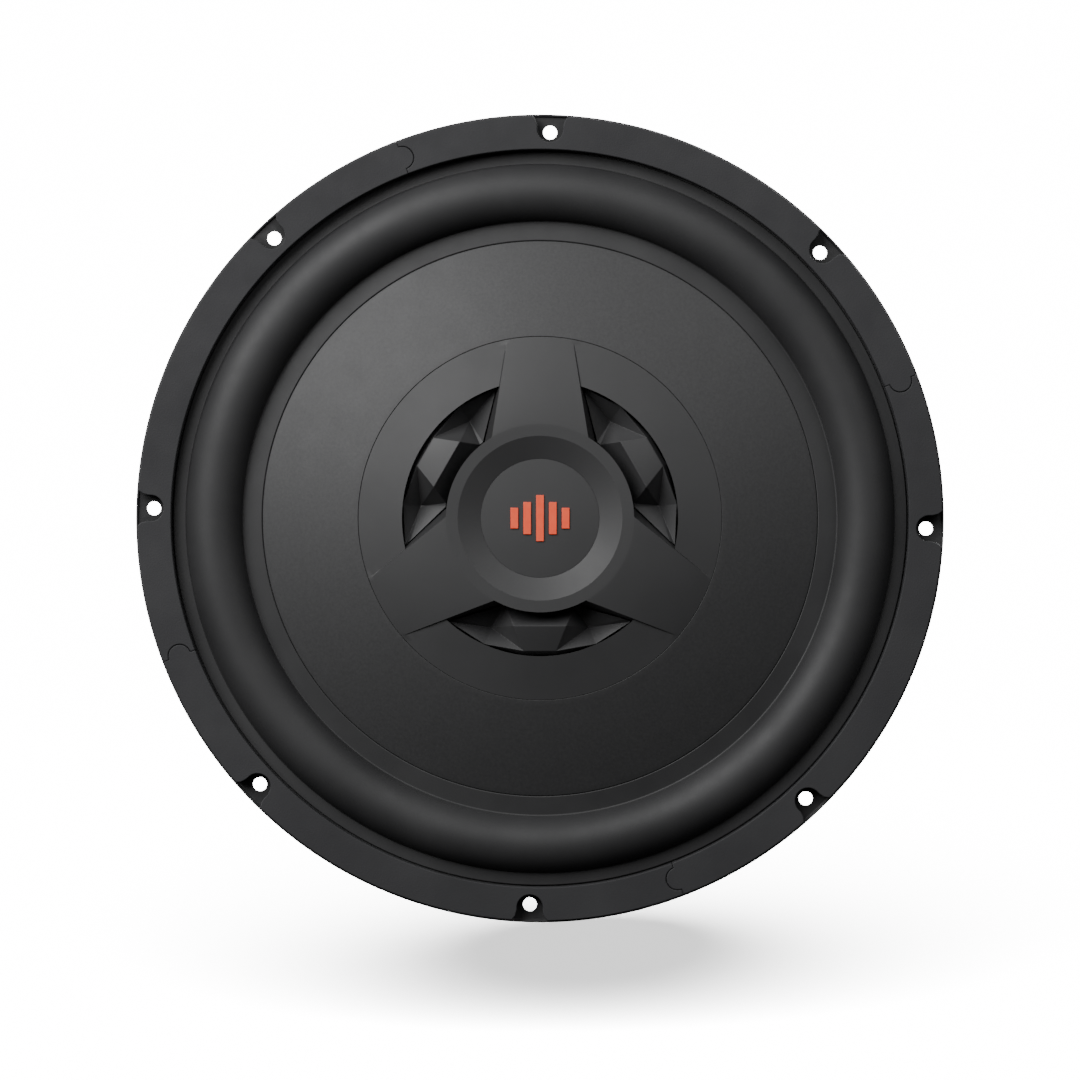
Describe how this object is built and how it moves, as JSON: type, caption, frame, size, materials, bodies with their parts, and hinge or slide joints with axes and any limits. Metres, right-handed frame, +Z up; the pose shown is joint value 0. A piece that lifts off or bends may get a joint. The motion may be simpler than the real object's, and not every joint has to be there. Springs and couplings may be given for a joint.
{
  "type": "car subwoofer speaker",
  "caption": "Shallow round car subwoofer driver: stamped basket, segmented gasket, half-roll surround, convex cone with a three-spoke hub, ring magnet and push terminals.",
  "frame": {"origin": "centre of the flange's rear face, which rests on the baffle", "axes": "-Y out of the front of the cone, +Z up, +X to the right as seen from the front"},
  "size_m": [0.318, 0.1031, 0.318],
  "materials": {
    "black_steel": "satin black powder coat",
    "rubber": "smooth satin black",
    "gasket_rubber": "matt black moulded rubber",
    "cone_fibre": "satin black",
    "satin_black": "satin black moulded",
    "emblem_orange": "orange-red print",
    "spider_cloth": "resin-dipped cotton",
    "former_aluminium": "plain",
    "copper_wire": "enamelled copper, satin",
    "zinc_steel": "zinc plated",
    "ferrite": "ground ferrite",
    "terminal_plastic": "black moulded",
    "gilt_brass": "polished",
    "spring_steel": "bright",
    "red_cap": "gloss red",
    "black_cap": "gloss black",
    "tinsel": "braided tinsel"
  },
  "bodies": {
    "frame": {"basket": "black_steel", "surround": "rubber", "spider": "spider_cloth", "gasket_segment_1": "gasket_rubber", "gasket_segment_2": "gasket_rubber", "gasket_segment_3": "gasket_rubber", "gasket_segment_4": "gasket_rubber", "top_plate": "zinc_steel", "yoke": "zinc_steel", "vent_mesh": "zinc_steel", "magnet_boot": "rubber", "motor_screws": "zinc_steel", "magnet": "ferrite", "shorting_ring": "former_aluminium", "terminal_block": "terminal_plastic", "terminal_rivets": "zinc_steel", "contact_positive": "gilt_brass", "contact_negative": "gilt_brass", "spring_positive": "spring_steel", "spring_negative": "spring_steel", "tinsel_lead_positive": "tinsel", "tinsel_lead_negative": "tinsel"},
    "moving_assembly": {"cone": "cone_fibre", "hub_cover": "satin_black", "centre_badge": "satin_black", "badge_emblem": "emblem_orange", "window_insert_1": "satin_black", "window_insert_2": "satin_black", "window_insert_3": "satin_black", "voice_coil_former": "former_aluminium", "voice_coil_winding": "copper_wire"},
    "positive_cap": {"push_cap_positive": "red_cap"},
    "negative_cap": {"push_cap_negative": "black_cap"}
  },
  "joints": [
    {"name": "cone_stroke", "type": "slide", "parent": "frame", "child": "moving_assembly", "axis": [0, -1, 0], "range_m": [-0.01, 0.01], "stiffness_N_per_m": 5000, "deforming": ["surround", "spider", "tinsel_lead_positive", "tinsel_lead_negative"]},
    {"name": "positive_press", "type": "slide", "parent": "frame", "child": "positive_cap", "axis": [0, -1, 0], "range_m": [0, 0.003], "stiffness_N_per_m": 400, "springref_m": -0.003, "deforming": ["spring_positive"]},
    {"name": "negative_press", "type": "slide", "parent": "frame", "child": "negative_cap", "axis": [0, -1, 0], "range_m": [0, 0.003], "stiffness_N_per_m": 400, "springref_m": -0.003, "deforming": ["spring_negative"]}
  ]
}
